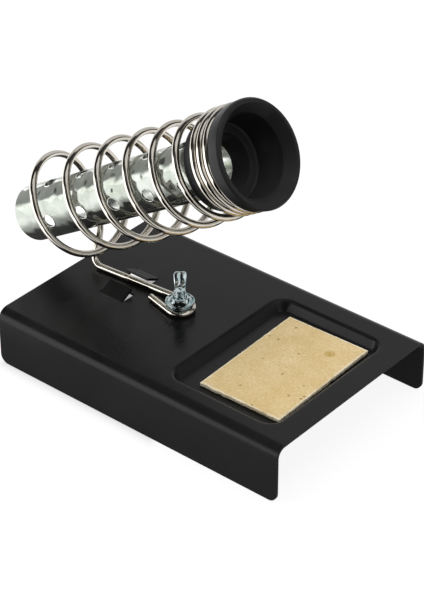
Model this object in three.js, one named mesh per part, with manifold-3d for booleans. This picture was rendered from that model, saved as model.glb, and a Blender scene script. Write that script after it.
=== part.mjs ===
// Bench stand for a soldering iron: a folded steel base with a pressed sponge tray, and a
// wire holder whose coil carries a plastic mouth collar and a perforated heat tube.
// Millimetres, +Z up. +X runs from the heat tube's end to the sponge, and the stand rests on Z = 0.

import * as THREE from 'three';
import { mergeVertices } from 'three/addons/utils/BufferGeometryUtils.js';
import Module from 'manifold-3d';

const wasm = await Module();
wasm.setup();

const radians = THREE.MathUtils.degToRad;

// ---- driving dimensions ----

// Base: one steel sheet folded down along both long sides
const baseLength = 150;
const baseWidth = 98;
const baseHeight = 26;
const sheetThickness = 1.2;
const foldRadius = 5;
const flangeCornerRadius = 4;

// Sponge tray pressed into the sheet
const trayLength = 74;
const trayWidth = 55;
const trayDepth = 4.5;
const trayWallRun = 2.8;
const trayCornerRadius = 7;
const trayEdgeRound = 0.9;
const trayEndMargin = 10.7;
const trayShift = -1.3;

// Sponge
const spongeLength = 60.5;
const spongeWidth = 40.2;
const spongeThickness = 1.6;
const spongeCornerRadius = 0.6;
const spongeTurn = radians(1.6);
const spongeShiftX = 3.5;
const spongeShiftY = 0.9;

// Clamp screw, washer and wing nut
const screwX = -16.3;
const screwY = 0;
const screwDiameter = 5;
const screwProud = 10.4;
const screwHeadDiameter = 9.5;
const screwHeadHeight = 2.8;
const screwRecessWidth = 1.1;
const screwRecessSpan = 5.2;
const screwRecessDepth = 1.5;
const screwPointChamfer = 0.6;
const washerDiameter = 11.6;
const washerThickness = 0.8;
const nutFlangeDiameter = 12.6;
const nutFlangeThickness = 1;
const nutBossDiameter = 8.2;
const nutBossHeight = 5;
const nutBossTopDiameter = 7;
const wingReach = 11.4;
const wingRise = 9;
const wingWidth = 6.2;
const wingTipRadius = 2;
const wingAngle = radians(-50);

// Wire of the holder
const wireDiameter = 3;
const footLoopRadius = 5.4;
const footTailLength = 13.8;
const footTailAngle = radians(166);
const footLegLength = 50.5;
const footLegAngle = radians(184.6);
const footBendSetback = 4;
const risingLegLean = radians(68);
const risingLegTurn = radians(88);

// Coil: open turns that close up on the collar's sleeve
const openTurns = 5.9;
const closingTurns = 0.6;
const sleeveTurns = 2.3;
const firstTurnSpacing = 23.3;
const lastOpenTurnSpacing = 12.4;
const sleeveTurnSpacing = 3.35;
const coilRadiusFront = 22.5;
const coilRadiusSleeve = 20.8;
const coilSag = 1;
const coilLeanUp = 1.2;
const coilLeanSide = 1.6;

// Place and lie of the holder's axis, measured at the centre of the collar's widest ring
const mouthX = 24.7;
const mouthY = 0;
const mouthAbovePlate = 90.9;
const holderTilt = radians(31);
const holderYaw = radians(1.9);

// Collar
const collarRimDiameter = 45;
const collarRimBackDiameter = 44.2;
const collarRimThickness = 4.8;
const collarRimEdge = 0.94;
const collarFaceDiameter = 43.6;
const collarFaceProud = 1.24;
const collarMouthDiameter = 40.8;
const cupMouthDepth = 4.8;
const cupDiameter = 34;
const cupBottomDiameter = 32.6;
const cupDepth = 18.5;
const collarFloorThickness = 5.54;
const sleeveEdgeChamfer = 1;
const collarBoreMouthDiameter = 24.3;
const spigotBoreDiameter = 19.2;
const spigotLength = 2.5;
const spigotEdgeChamfer = 0.4;

// Perforated heat tube
const tubeDiameter = 24.3;
const tubeWall = 0.75;
const tubeLength = 115.7;
const tubeHoleDiameter = 5.9;
const tubeHoleColumns = 4;
const tubeHoleRows = 5;
const tubeHoleRowPitch = 21.3;
const tubeFirstRowFromEnd = 19.6;
const tubeHoleTurn = radians(100);

// Stops lanced out of the sheet and bent up on both sides of the foot's long leg
const stopLength = 12;
const stopReach = 7.6;
const stopBend = radians(27);
const stopX = -45.6;
const nearStopHinge = -11.2;
const farStopHinge = 12.9;

// Clearances
const seatGap = 0.15;
const sideGap = 0.3;
const boltHoleClearance = 0.3;

// Facets
const roundSegments = 48;
const boreSegments = 24;
const cornerSegments = 5;
const wireSides = 8;
const stepsPerTurn = 22;

// ---- what follows from them ----

const plateTop = baseHeight;
const plateUnder = plateTop - sheetThickness;
const wireRadius = wireDiameter / 2;
const footHeight = plateTop + seatGap + wireRadius;
const washerUnder = footHeight + wireRadius + seatGap;
const nutUnder = washerUnder + washerThickness + seatGap;
const trayX = baseLength / 2 - trayEndMargin - trayWidth / 2;
const trayFloor = plateTop - trayDepth;
const collarSleeveDiameter = 2 * (coilRadiusSleeve - wireRadius - sideGap);
const collarBackDepth = cupDepth - collarFaceProud + collarFloorThickness;
const tubeFrontDepth = collarBackDepth + sideGap;
const tubeBoreDiameter = tubeDiameter - 2 * tubeWall;
const spigotDiameter = tubeBoreDiameter - 2 * sideGap;

// ---- solids: geometry in, manifold out, and back ----

function toSolid(geometry) {
  const bare = geometry.clone();
  bare.deleteAttribute('normal');
  bare.deleteAttribute('uv');
  const merged = mergeVertices(bare, 1e-4);
  const triangles = [];
  const index = merged.index.array;
  for (let i = 0; i < index.length; i += 3) {
    const [a, b, c] = [index[i], index[i + 1], index[i + 2]];
    if (a !== b && b !== c && c !== a) triangles.push(a, b, c);
  }
  return new wasm.Manifold(new wasm.Mesh({
    numProp: 3,
    vertProperties: new Float32Array(merged.attributes.position.array),
    triVerts: new Uint32Array(triangles),
  }));
}

function toGeometry(solid) {
  const mesh = solid.getMesh();
  const geometry = new THREE.BufferGeometry();
  geometry.setAttribute('position', new THREE.BufferAttribute(new Float32Array(mesh.vertProperties), 3));
  geometry.setIndex(new THREE.BufferAttribute(new Uint32Array(mesh.triVerts), 1));
  geometry.computeVertexNormals();
  return geometry;
}

const placed = (geometry, x, y, z) => geometry.clone().translate(x, y, z);

// Turned shape about Z from [radius, height] pairs
function turned(pairs, segments = roundSegments) {
  const geometry = new THREE.LatheGeometry(pairs.map(([r, h]) => new THREE.Vector2(r, h)), segments);
  return geometry.rotateX(Math.PI / 2);
}

function rod(diameter, low, high, segments = boreSegments) {
  const r = diameter / 2;
  return turned([[0, low], [r, low], [r, high], [0, high]], segments);
}

// Shape drawn in Y and Z, extruded along X about the origin
function extrudedAlongX(shape, length, curveSegments = cornerSegments) {
  const geometry = new THREE.ExtrudeGeometry(shape, { depth: length, bevelEnabled: false, curveSegments });
  geometry.translate(0, 0, -length / 2);
  const axes = new THREE.Matrix4().makeBasis(
    new THREE.Vector3(0, 1, 0), new THREE.Vector3(0, 0, 1), new THREE.Vector3(1, 0, 0));
  return geometry.applyMatrix4(axes);
}

// Shape drawn in X and Z, extruded along Y about the origin
function extrudedAlongY(shape, length, curveSegments = cornerSegments) {
  const geometry = new THREE.ExtrudeGeometry(shape, { depth: length, bevelEnabled: false, curveSegments });
  return geometry.translate(0, 0, -length / 2).rotateX(Math.PI / 2);
}

// Corner points of a rounded rectangle about the origin, counter-clockwise
function roundedRectangle(halfX, halfY, radius) {
  const points = [];
  const corners = [[1, 1, 0], [-1, 1, 90], [-1, -1, 180], [1, -1, 270]];
  for (const [sx, sy, start] of corners) {
    for (let k = 0; k <= cornerSegments; k++) {
      const angle = radians(start + (90 * k) / cornerSegments);
      points.push(new THREE.Vector2(
        sx * (halfX - radius) + radius * Math.cos(angle),
        sy * (halfY - radius) + radius * Math.sin(angle)));
    }
  }
  return points;
}

// Closed body through rounded rectangles, one for each level, lowest first
function lofted(levels) {
  const rings = levels.map(({ z, halfX, halfY, radius }) =>
    roundedRectangle(halfX, halfY, radius).map((p) => new THREE.Vector3(p.x, p.y, z)));
  const count = rings[0].length;
  const positions = rings.flat().flatMap((p) => [p.x, p.y, p.z]);
  const index = [];
  for (let level = 0; level < rings.length - 1; level++) {
    for (let k = 0; k < count; k++) {
      const next = (k + 1) % count;
      const a = level * count + k;
      const b = level * count + next;
      const c = a + count;
      const d = b + count;
      index.push(a, b, d, a, d, c);
    }
  }
  const last = (rings.length - 1) * count;
  for (let k = 1; k < count - 1; k++) {
    index.push(0, k + 1, k);
    index.push(last, last + k, last + k + 1);
  }
  const geometry = new THREE.BufferGeometry();
  geometry.setAttribute('position', new THREE.Float32BufferAttribute(positions, 3));
  geometry.setIndex(index);
  return geometry;
}

// ---- foot of the wire, seen from above ----

const screwPoint = new THREE.Vector2(screwX, screwY);
const legDirection = new THREE.Vector2(Math.cos(footLegAngle), Math.sin(footLegAngle));
// The wire meets the loop where the leg and the tail touch its circle
const legTangentAngle = footLegAngle - Math.PI / 2;
const tailTangentAngle = footTailAngle + Math.PI / 2;
const loopPoint = (angle) => new THREE.Vector2(Math.cos(angle), Math.sin(angle))
  .multiplyScalar(footLoopRadius).add(screwPoint);
const legStart = loopPoint(legTangentAngle);
const alongLeg = (distance) => legStart.clone().addScaledVector(legDirection, distance);

// ---- base ----

function channelShape() {
  const half = baseWidth / 2;
  const inner = half - sheetThickness;
  const innerRadius = foldRadius - sheetThickness;
  const shape = new THREE.Shape();
  shape.moveTo(half, 0);
  shape.absarc(half - foldRadius, plateTop - foldRadius, foldRadius, 0, Math.PI / 2);
  shape.absarc(-half + foldRadius, plateTop - foldRadius, foldRadius, Math.PI / 2, Math.PI);
  shape.lineTo(-half, 0);
  shape.lineTo(-inner, 0);
  shape.absarc(-half + foldRadius, plateTop - foldRadius, innerRadius, Math.PI, Math.PI / 2, true);
  shape.absarc(half - foldRadius, plateTop - foldRadius, innerRadius, Math.PI / 2, 0, true);
  shape.lineTo(inner, 0);
  shape.closePath();
  return shape;
}

function sideOutline() {
  const half = baseLength / 2;
  const r = flangeCornerRadius;
  const shape = new THREE.Shape();
  shape.moveTo(half, plateTop);
  shape.lineTo(-half, plateTop);
  shape.absarc(-half + r, r, r, Math.PI, 1.5 * Math.PI);
  shape.absarc(half - r, r, r, 1.5 * Math.PI, 2 * Math.PI);
  shape.closePath();
  return shape;
}

// The pressed form grown by some thickness: 0 is its upper skin, the sheet's is its under skin
function trayForm(grow) {
  const level = (z, inset) => ({
    z: z - grow,
    halfX: trayWidth / 2 - inset + grow,
    halfY: trayLength / 2 - inset + grow,
    radius: Math.max(trayCornerRadius - inset + grow, 1),
  });
  const levels = [level(trayFloor, trayWallRun)];
  levels.push(level(plateTop - trayEdgeRound, trayEdgeRound / 2));
  levels.push(level(plateTop - trayEdgeRound / 4, -trayEdgeRound / 4));
  levels.push(level(plateTop + (grow > 0 ? grow / 2 : 0), -trayEdgeRound));
  if (grow === 0) levels.push(level(plateTop + trayEdgeRound, -trayEdgeRound));
  return placed(lofted(levels), trayX, trayShift, 0);
}

// Stop cut on three sides and bent up, drawn in Y and Z from the hinge line on the sheet's top
function stopShape() {
  const along = new THREE.Vector2(Math.cos(stopBend), Math.sin(stopBend));
  const under = new THREE.Vector2(along.y, -along.x).multiplyScalar(sheetThickness);
  const tip = along.clone().multiplyScalar(stopReach);
  const third = sheetThickness / 3;
  const shape = new THREE.Shape();
  shape.moveTo(0, 0);
  shape.lineTo(-sheetThickness, -third);
  shape.lineTo(-sheetThickness, -2 * third);
  shape.lineTo(0, -sheetThickness);
  shape.lineTo(sheetThickness * Math.tan(stopBend / 2), -sheetThickness);
  shape.lineTo(tip.x + under.x, tip.y + under.y);
  shape.lineTo(tip.x, tip.y);
  shape.closePath();
  return shape;
}

// Cuts a stop's window and adds the stop, which points to +Y, or to -Y when turned round
function withStop(base, hinge, turnedRound) {
  const windowLength = stopReach + sideGap;
  const window = new THREE.BoxGeometry(stopLength + 2 * sideGap, windowLength, 3 * sheetThickness);
  window.translate(0, windowLength / 2, 0);
  const place = (solid) => solid.rotate([0, 0, turnedRound ? 180 : 0]).translate([stopX, hinge, plateTop]);
  const stop = toSolid(extrudedAlongX(stopShape(), stopLength));
  return base.subtract(place(toSolid(window))).add(place(stop));
}

function makeBase() {
  let base = toSolid(extrudedAlongX(channelShape(), baseLength));
  base = base.intersect(toSolid(extrudedAlongY(sideOutline(), 2 * baseWidth)));
  base = base.add(toSolid(trayForm(sheetThickness)));
  base = base.subtract(toSolid(trayForm(0)));

  base = withStop(base, nearStopHinge, false);
  base = withStop(base, farStopHinge, true);

  const bolt = rod(screwDiameter + 2 * boltHoleClearance, -sheetThickness, sheetThickness);
  base = base.subtract(toSolid(placed(bolt, screwX, screwY, (plateTop + plateUnder) / 2)));
  return toGeometry(base);
}

function makeSponge() {
  const outline = new THREE.Shape(roundedRectangle(spongeWidth / 2, spongeLength / 2, spongeCornerRadius));
  return new THREE.ExtrudeGeometry(outline, { depth: spongeThickness, bevelEnabled: false });
}

// ---- clamp screw, washer and wing nut, each about its own axis ----

function makeScrew() {
  const headTop = plateUnder - seatGap;
  const headUnder = headTop - screwHeadHeight;
  const tip = plateTop + screwProud;
  const r = screwDiameter / 2;
  const headRadius = screwHeadDiameter / 2;
  const dome = screwHeadHeight / 2;
  const body = toSolid(turned([
    [0, headUnder], [headRadius - dome, headUnder], [headRadius, headUnder + dome], [headRadius, headTop],
    [r, headTop], [r, tip - screwPointChamfer], [r - screwPointChamfer, tip], [0, tip],
  ], boreSegments));
  let recess = new THREE.BoxGeometry(screwRecessSpan, screwRecessWidth, 2 * screwRecessDepth);
  recess = placed(recess, 0, 0, headUnder);
  const cross = toSolid(recess).add(toSolid(recess.clone().rotateZ(Math.PI / 2)));
  return toGeometry(body.subtract(cross));
}

function makeWasher() {
  const outer = washerDiameter / 2;
  const inner = screwDiameter / 2 + boltHoleClearance;
  const top = washerThickness;
  return turned([[inner, 0], [outer, 0], [outer, top], [inner, top], [inner, 0]], 2 * boreSegments);
}

function makeWingNut() {
  const flange = nutFlangeDiameter / 2;
  const top = nutBossTopDiameter / 2;
  const root = nutBossDiameter / 2;
  const boss = toSolid(turned([
    [0, 0], [flange, 0], [flange, nutFlangeThickness], [root, nutFlangeThickness],
    [top, nutBossHeight], [0, nutBossHeight],
  ], 2 * boreSegments));
  const wing = new THREE.Shape();
  const tipX = wingReach - wingTipRadius;
  const tipZ = wingRise - wingTipRadius;
  wing.moveTo(0, nutFlangeThickness);
  wing.lineTo(root, nutFlangeThickness);
  wing.quadraticCurveTo(wingReach - wingTipRadius / 2, nutFlangeThickness + wingTipRadius, wingReach, tipZ);
  wing.absarc(tipX, tipZ, wingTipRadius, 0, Math.PI);
  wing.quadraticCurveTo(tipX - wingTipRadius, nutBossHeight, 0, nutBossHeight - nutFlangeThickness);
  wing.closePath();
  const blade = toSolid(extrudedAlongY(wing, wingWidth));
  const bore = toSolid(rod(screwDiameter + 2 * boltHoleClearance, -nutFlangeThickness, wingRise));
  return toGeometry(boss.add(blade).add(blade.rotate([0, 0, 180])).subtract(bore));
}

// ---- holder axis: local X and Y across it, local Z out of the mouth ----

const outward = new THREE.Vector3(
  Math.cos(holderYaw) * Math.cos(holderTilt),
  Math.sin(holderYaw) * Math.cos(holderTilt),
  Math.sin(holderTilt));
const sideways = new THREE.Vector3(-Math.sin(holderYaw), Math.cos(holderYaw), 0);
const upwards = new THREE.Vector3().crossVectors(outward, sideways);
const holderFrame = new THREE.Matrix4()
  .makeBasis(sideways, upwards, outward)
  .setPosition(mouthX, mouthY, plateTop + mouthAbovePlate);

// ---- wire ----

// Spacing of the coil's turns at a given turn: falling over the open turns, then closing to the sleeve's
function spacingAt(turn) {
  const open = THREE.MathUtils.lerp(firstTurnSpacing, lastOpenTurnSpacing, Math.min(turn / openTurns, 1));
  const closed = THREE.MathUtils.clamp((turn - openTurns) / closingTurns, 0, 1);
  return THREE.MathUtils.lerp(open, sleeveTurnSpacing, closed);
}

const coilTurns = openTurns + closingTurns + sleeveTurns;
const lastTurnDepth = collarRimThickness + seatGap + wireRadius;

// Points of the coil from its front to its end behind the collar's rim
function coilPoints() {
  const steps = Math.round(coilTurns * stepsPerTurn);
  const turnStep = coilTurns / steps;
  const points = [];
  let depth = lastTurnDepth;
  for (let k = steps; k >= 0; k--) {
    const turn = k * turnStep;
    const open = THREE.MathUtils.clamp(1 - turn / (openTurns + closingTurns), 0, 1);
    const radius = THREE.MathUtils.lerp(coilRadiusSleeve, coilRadiusFront, open);
    const angle = 2 * Math.PI * turn;
    const [across, above] = [Math.cos(angle), Math.sin(angle)];
    // The open turns hang most halfway along, and the foremost lean most
    const sag = 4 * coilSag * open * (1 - open);
    const lean = open * (coilLeanUp * above - coilLeanSide * across);
    const local = new THREE.Vector3(radius * across, radius * above - sag, lean - depth);
    points.unshift(local.applyMatrix4(holderFrame));
    depth += spacingAt(turn - turnStep / 2) * turnStep;
  }
  return points;
}

// Curve through its own points, stepped from point to point instead of by length
class WireCurve extends THREE.CatmullRomCurve3 {
  getUtoTmapping(u) {
    return u;
  }
}

function footPoints() {
  const flat = (p) => new THREE.Vector3(p.x, p.y, footHeight);
  const tailStart = loopPoint(tailTangentAngle);
  const tailDirection = new THREE.Vector2(Math.cos(footTailAngle), Math.sin(footTailAngle));
  const points = [flat(tailStart.clone().addScaledVector(tailDirection, footTailLength))];
  points.push(flat(tailStart.clone().addScaledVector(tailDirection, footTailLength / 2)));
  const sweep = legTangentAngle + 2 * Math.PI - tailTangentAngle;
  const loopSteps = Math.round((stepsPerTurn * sweep) / (2 * Math.PI));
  for (let k = 0; k <= loopSteps; k++) {
    points.push(flat(loopPoint(tailTangentAngle + (sweep * k) / loopSteps)));
  }
  const legSteps = 6;
  for (let k = 1; k < legSteps; k++) {
    points.push(flat(alongLeg(((footLegLength - footBendSetback) * k) / legSteps)));
  }
  return points;
}

// The rounded bend up from the plate, and the leg from it into the coil's first turn
function legPoints(coil) {
  const corner = new THREE.Vector3(alongLeg(footLegLength).x, alongLeg(footLegLength).y, footHeight);
  const inwards = new THREE.Vector3(legDirection.x, legDirection.y, 0);
  const rising = new THREE.Vector3(
    Math.cos(risingLegTurn) * Math.cos(risingLegLean),
    Math.sin(risingLegTurn) * Math.cos(risingLegLean),
    Math.sin(risingLegLean));
  const bend = new THREE.CubicBezierCurve3(
    corner.clone().addScaledVector(inwards, -footBendSetback),
    corner.clone().addScaledVector(inwards, -footBendSetback / 2),
    corner.clone().addScaledVector(rising, footBendSetback / 2),
    corner.clone().addScaledVector(rising, footBendSetback));
  const coilHeading = coil[1].clone().sub(coil[0]).normalize();
  const reach = coil[0].distanceTo(bend.v3) / 2;
  const leg = new THREE.CubicBezierCurve3(
    bend.v3,
    bend.v3.clone().addScaledVector(rising, reach),
    coil[0].clone().addScaledVector(coilHeading, -reach),
    coil[0]);
  return [...bend.getSpacedPoints(6), ...leg.getSpacedPoints(7).slice(1, -1)];
}

function makeWire() {
  const coil = coilPoints();
  const points = [...footPoints(), ...legPoints(coil), ...coil];
  const section = new THREE.Shape();
  for (let k = 0; k < wireSides; k++) {
    const angle = (2 * Math.PI * k) / wireSides;
    const [x, y] = [wireRadius * Math.cos(angle), wireRadius * Math.sin(angle)];
    if (k === 0) section.moveTo(x, y);
    else section.lineTo(x, y);
  }
  section.closePath();
  return new THREE.ExtrudeGeometry(section, {
    steps: points.length - 1,
    extrudePath: new WireCurve(points, false, 'centripetal'),
  });
}

// ---- collar and tube, about the holder's axis with the mouth at +Z ----

function makeCollar() {
  const face = collarFaceProud;
  const back = -collarBackDepth;
  const sleeve = collarSleeveDiameter / 2;
  const floor = face - cupDepth;
  const spigot = spigotDiameter / 2;
  const spigotEnd = back - spigotLength;
  const bore = spigotBoreDiameter / 2;
  return turned([
    [collarMouthDiameter / 2, face],
    [collarFaceDiameter / 2, face],
    [collarRimDiameter / 2, face - collarRimEdge],
    [collarRimBackDiameter / 2, -collarRimThickness],
    [sleeve, -collarRimThickness],
    [sleeve, back + sleeveEdgeChamfer],
    [sleeve - sleeveEdgeChamfer, back],
    [spigot, back],
    [spigot, spigotEnd + spigotEdgeChamfer],
    [spigot - spigotEdgeChamfer, spigotEnd],
    [bore, spigotEnd],
    [collarBoreMouthDiameter / 2, floor],
    [cupBottomDiameter / 2, floor],
    [cupDiameter / 2, face - cupMouthDepth],
    [collarMouthDiameter / 2, face],
  ].reverse());
}

function makeTube() {
  const [inner, outer] = [tubeBoreDiameter / 2, tubeDiameter / 2];
  const front = -tubeFrontDepth;
  const end = front - tubeLength;
  let tube = toSolid(turned([[inner, end], [outer, end], [outer, front], [inner, front], [inner, end]]));
  const cutter = rod(tubeHoleDiameter, 0, tubeDiameter, boreSegments / 2).rotateX(-Math.PI / 2);
  for (let row = 0; row < tubeHoleRows; row++) {
    for (let column = 0; column < tubeHoleColumns; column++) {
      const hole = cutter.clone();
      hole.rotateZ(tubeHoleTurn - Math.PI / 2 + (2 * Math.PI * column) / tubeHoleColumns);
      hole.translate(0, 0, end + tubeFirstRowFromEnd + row * tubeHoleRowPitch);
      tube = tube.subtract(toSolid(hole));
    }
  }
  return toGeometry(tube);
}

// ---- assembly ----

function material(color, roughness, metalness) {
  return new THREE.MeshStandardMaterial({ color, roughness, metalness });
}

const blackPaint = material(0x1b1b1c, 0.32, 0);
const sponge = material(0xd9bd86, 0.95, 0);
const zinc = material(0xc3cad0, 0.28, 1);
const springSteel = material(0xcfc8bd, 0.2, 1);
const tubeSteel = material(0xb9bdb8, 0.22, 1);
const blackPlastic = material(0x161617, 0.4, 0);

function piece(name, geometry, finish) {
  const mesh = new THREE.Mesh(geometry, finish);
  mesh.name = name;
  return mesh;
}

const stand = new THREE.Group();
stand.name = 'soldering_iron_stand';

stand.add(piece('base_plate', makeBase(), blackPaint));

const spongePiece = piece('sponge', makeSponge(), sponge);
spongePiece.position.set(trayX + spongeShiftX, trayShift + spongeShiftY, trayFloor + sideGap);
spongePiece.rotation.z = spongeTurn;
stand.add(spongePiece);

const clamp = new THREE.Group();
clamp.position.set(screwX, screwY, 0);
clamp.add(piece('clamp_screw', makeScrew(), zinc));
const washer = piece('washer', makeWasher(), zinc);
washer.position.z = washerUnder;
clamp.add(washer);
const wingNut = piece('wing_nut', makeWingNut(), zinc);
wingNut.position.z = nutUnder;
wingNut.rotation.z = wingAngle;
clamp.add(wingNut);
stand.add(clamp);

stand.add(piece('holder_wire', makeWire(), springSteel));

const holder = new THREE.Group();
holder.applyMatrix4(holderFrame);
holder.add(piece('collar', makeCollar(), blackPlastic));
holder.add(piece('perforated_tube', makeTube(), tubeSteel));
stand.add(holder);

// The origin is under the middle of the whole stand
stand.updateMatrixWorld(true);
const box = new THREE.Box3().setFromObject(stand, true);
stand.position.set(-(box.min.x + box.max.x) / 2, -(box.min.y + box.max.y) / 2, -box.min.z);
stand.updateMatrixWorld(true);

export default stand;
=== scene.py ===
from math import atan2, copysign, cos, exp, pi, radians, sin, sqrt, tan

import bmesh
import bpy
from mathutils import Matrix, Vector, noise
from mathutils.geometry import delaunay_2d_cdt


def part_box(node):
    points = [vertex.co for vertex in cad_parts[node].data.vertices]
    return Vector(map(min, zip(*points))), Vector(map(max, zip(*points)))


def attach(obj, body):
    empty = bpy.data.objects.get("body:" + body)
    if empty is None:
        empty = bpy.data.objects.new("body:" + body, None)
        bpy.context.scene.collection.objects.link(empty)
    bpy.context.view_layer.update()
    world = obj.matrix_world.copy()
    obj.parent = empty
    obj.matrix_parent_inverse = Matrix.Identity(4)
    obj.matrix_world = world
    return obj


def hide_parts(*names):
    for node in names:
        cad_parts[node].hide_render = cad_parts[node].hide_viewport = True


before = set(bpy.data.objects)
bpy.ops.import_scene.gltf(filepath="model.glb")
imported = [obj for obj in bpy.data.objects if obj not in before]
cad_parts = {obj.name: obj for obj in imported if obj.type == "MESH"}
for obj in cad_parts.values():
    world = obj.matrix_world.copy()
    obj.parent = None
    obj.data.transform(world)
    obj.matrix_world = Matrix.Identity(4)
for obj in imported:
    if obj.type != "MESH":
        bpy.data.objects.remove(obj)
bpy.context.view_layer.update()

baseLow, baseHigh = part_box("base_plate")

# Pieces are drawn in millimetres from the point under the middle of the base
mm = 0.001
baseMiddleX = (baseLow.x + baseHigh.x) / 2
toRow = Matrix.Translation((baseMiddleX, 0, 0)) @ Matrix.Scale(mm, 4)


# Small tools for outlines and meshes

def blend(a, b, share):
    return a + (b - a) * share


def roundedLine(corners, steps=5, closed=False):
    # corners are (x, y, radius), and the ends of an open line stay sharp
    points = []
    count = len(corners)
    for i, (x, y, radius) in enumerate(corners):
        here = Vector((x, y))
        if radius == 0 or not closed and i in (0, count - 1):
            points.append(here)
            continue
        inward, outward = ((Vector(corners[k % count][:2]) - here).normalized() for k in (i - 1, i + 1))
        half = inward.angle(outward) / 2
        centre = here + (inward + outward).normalized() * (radius / sin(half))
        start, end = (here + way * (radius / tan(half)) - centre for way in (inward, outward))
        first = atan2(start.y, start.x)
        sweep = atan2(start.x * end.y - start.y * end.x, start.dot(end))
        for k in range(steps + 1):
            angle = first + sweep * k / steps
            points.append(centre + Vector((cos(angle), sin(angle))) * radius)
    return points


def gridFaces(rows, columns, wrapColumns=False, wrapRows=False, start=0):
    faces = []
    for i in range(rows if wrapRows else rows - 1):
        row, nextRow = (start + k % rows * columns for k in (i, i + 1))
        for j in range(columns if wrapColumns else columns - 1):
            beside = (j + 1) % columns
            faces.append((row + j, row + beside, nextRow + beside, nextRow + j))
    return faces


def polar(radius, angle, height=0.0):
    return Vector((radius * cos(angle), radius * sin(angle), height))


def ringVerts(radius, height, segments):
    return [polar(radius, 2 * pi * k / segments, height) for k in range(segments)]


def cappedFaces(rows, columns):
    # A grid wrapped into a pipe, with both ends shut
    ends = [tuple(range((rows - 1) * columns, rows * columns)), tuple(reversed(range(columns)))]
    return gridFaces(rows, columns, wrapColumns=True) + ends


def turnedMesh(profile, segments, closed=True):
    # profile is (radius, height) pairs round the Z axis
    verts = [v for radius, height in profile for v in ringVerts(radius, height, segments)]
    faces = gridFaces(len(profile), segments, wrapColumns=True, wrapRows=closed)
    return verts, faces


def closedRod(radius, low, high, segments):
    return turnedMesh([(radius, low), (radius, high)], segments, closed=False)[0], cappedFaces(2, segments)


def newObject(name, data):
    item = bpy.data.objects.new(name, data)
    bpy.context.scene.collection.objects.link(item)
    return item


def makeMesh(name, verts, faces, place=Matrix.Identity(4)):
    mesh = bpy.data.meshes.new(name)
    mesh.from_pydata([toRow @ (place @ Vector(v)) for v in verts], [], faces)
    mesh.update()
    tidy = bmesh.new()
    tidy.from_mesh(mesh)
    bmesh.ops.recalc_face_normals(tidy, faces=tidy.faces)
    tidy.to_mesh(mesh)
    tidy.free()
    return newObject(name, mesh)


def addModifier(piece, kind, **values):
    modifier = piece.modifiers.new(kind.lower(), kind)
    for key, value in values.items():
        setattr(modifier, key, value)


def applyModifiers(piece):
    depsgraph = bpy.context.evaluated_depsgraph_get()
    shaped = bpy.data.meshes.new_from_object(piece.evaluated_get(depsgraph), depsgraph=depsgraph)
    piece.modifiers.clear()
    old, piece.data = piece.data, shaped
    bpy.data.meshes.remove(old)


def cutWith(piece, cutter, operation="DIFFERENCE"):
    addModifier(piece, "BOOLEAN", object=cutter, operation=operation, solver="EXACT")
    applyModifiers(piece)
    bpy.data.objects.remove(cutter)


def smoothShade(piece, angle=35):
    piece.data.shade_smooth()
    piece.data.set_sharp_from_angle(angle=radians(angle))


def finishPiece(piece, material, body, nodes):
    piece.data.materials.clear()
    piece.data.materials.append(material)
    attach(piece, body)
    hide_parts(*nodes)
    print("made:", piece.name, len(piece.data.polygons), "faces")


# Shader nodes; a value is a plain one or another node's output

def setSocket(tree, socket, value):
    if isinstance(value, bpy.types.NodeSocket):
        tree.links.new(value, socket)
    else:
        socket.default_value = value


def addNode(tree, kind, **settings):
    node = tree.nodes.new(kind)
    for key, value in settings.items():
        if key in node.inputs.keys():
            setSocket(tree, node.inputs[key], value)
        else:
            setattr(node, key, value)
    return node


def addMath(tree, operation, a, b, kind="ShaderNodeMath"):
    node = addNode(tree, kind, operation=operation)
    for socket, value in zip(node.inputs, (a, b)):
        setSocket(tree, socket, value)
    return node.outputs["Value"]


def addMix(tree, factor, a, b, kind="FLOAT"):
    return addNode(tree, "ShaderNodeMix", data_type=kind, Factor=factor, A=a, B=b).outputs["Result"]


def addRange(tree, value, low, high, start=0.0, end=1.0, smooth=False):
    node = addNode(tree, "ShaderNodeMapRange", interpolation_type="SMOOTHSTEP" if smooth else "LINEAR",
                   Value=value, **{"From Min": low, "From Max": high, "To Min": start, "To Max": end})
    return node.outputs["Result"]


def addCloud(tree, size, **settings):
    # Soft noise with its features' size in millimetres
    place = addNode(tree, "ShaderNodeTexCoord").outputs["Object"]
    scale = addMath(tree, "DIVIDE", 1 / mm, size)
    return addNode(tree, "ShaderNodeTexNoise", Vector=place, Scale=scale, **settings).outputs["Fac"]


def colourRamp(tree, factor, stops):
    ramp = addNode(tree, "ShaderNodeValToRGB", Fac=factor)
    elements = ramp.color_ramp.elements
    while len(elements) < len(stops):
        elements.new(0.5)
    for element, (position, colour) in zip(elements, stops):
        element.position = position
        element.color = (*colour, 1)
    return ramp.outputs["Color"]


def addBump(tree, shader, height, distance):
    bump = addNode(tree, "ShaderNodeBump", Strength=1.0, Distance=distance * mm, Height=height)
    tree.links.new(bump.outputs["Normal"], shader.inputs["Normal"])


# Shader groups shared by the materials: each puts out values that change over the surface

def newGroup(name, inputs, outputs):
    group = bpy.data.node_groups.new(name, "ShaderNodeTree")
    for label, value in inputs.items():
        socket = group.interface.new_socket(label, in_out="INPUT", socket_type="NodeSocketFloat")
        socket.default_value = value
    for label in outputs:
        group.interface.new_socket(label, in_out="OUTPUT", socket_type="NodeSocketFloat")
    return group, group.nodes.new("NodeGroupInput").outputs, group.nodes.new("NodeGroupOutput").inputs


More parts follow.
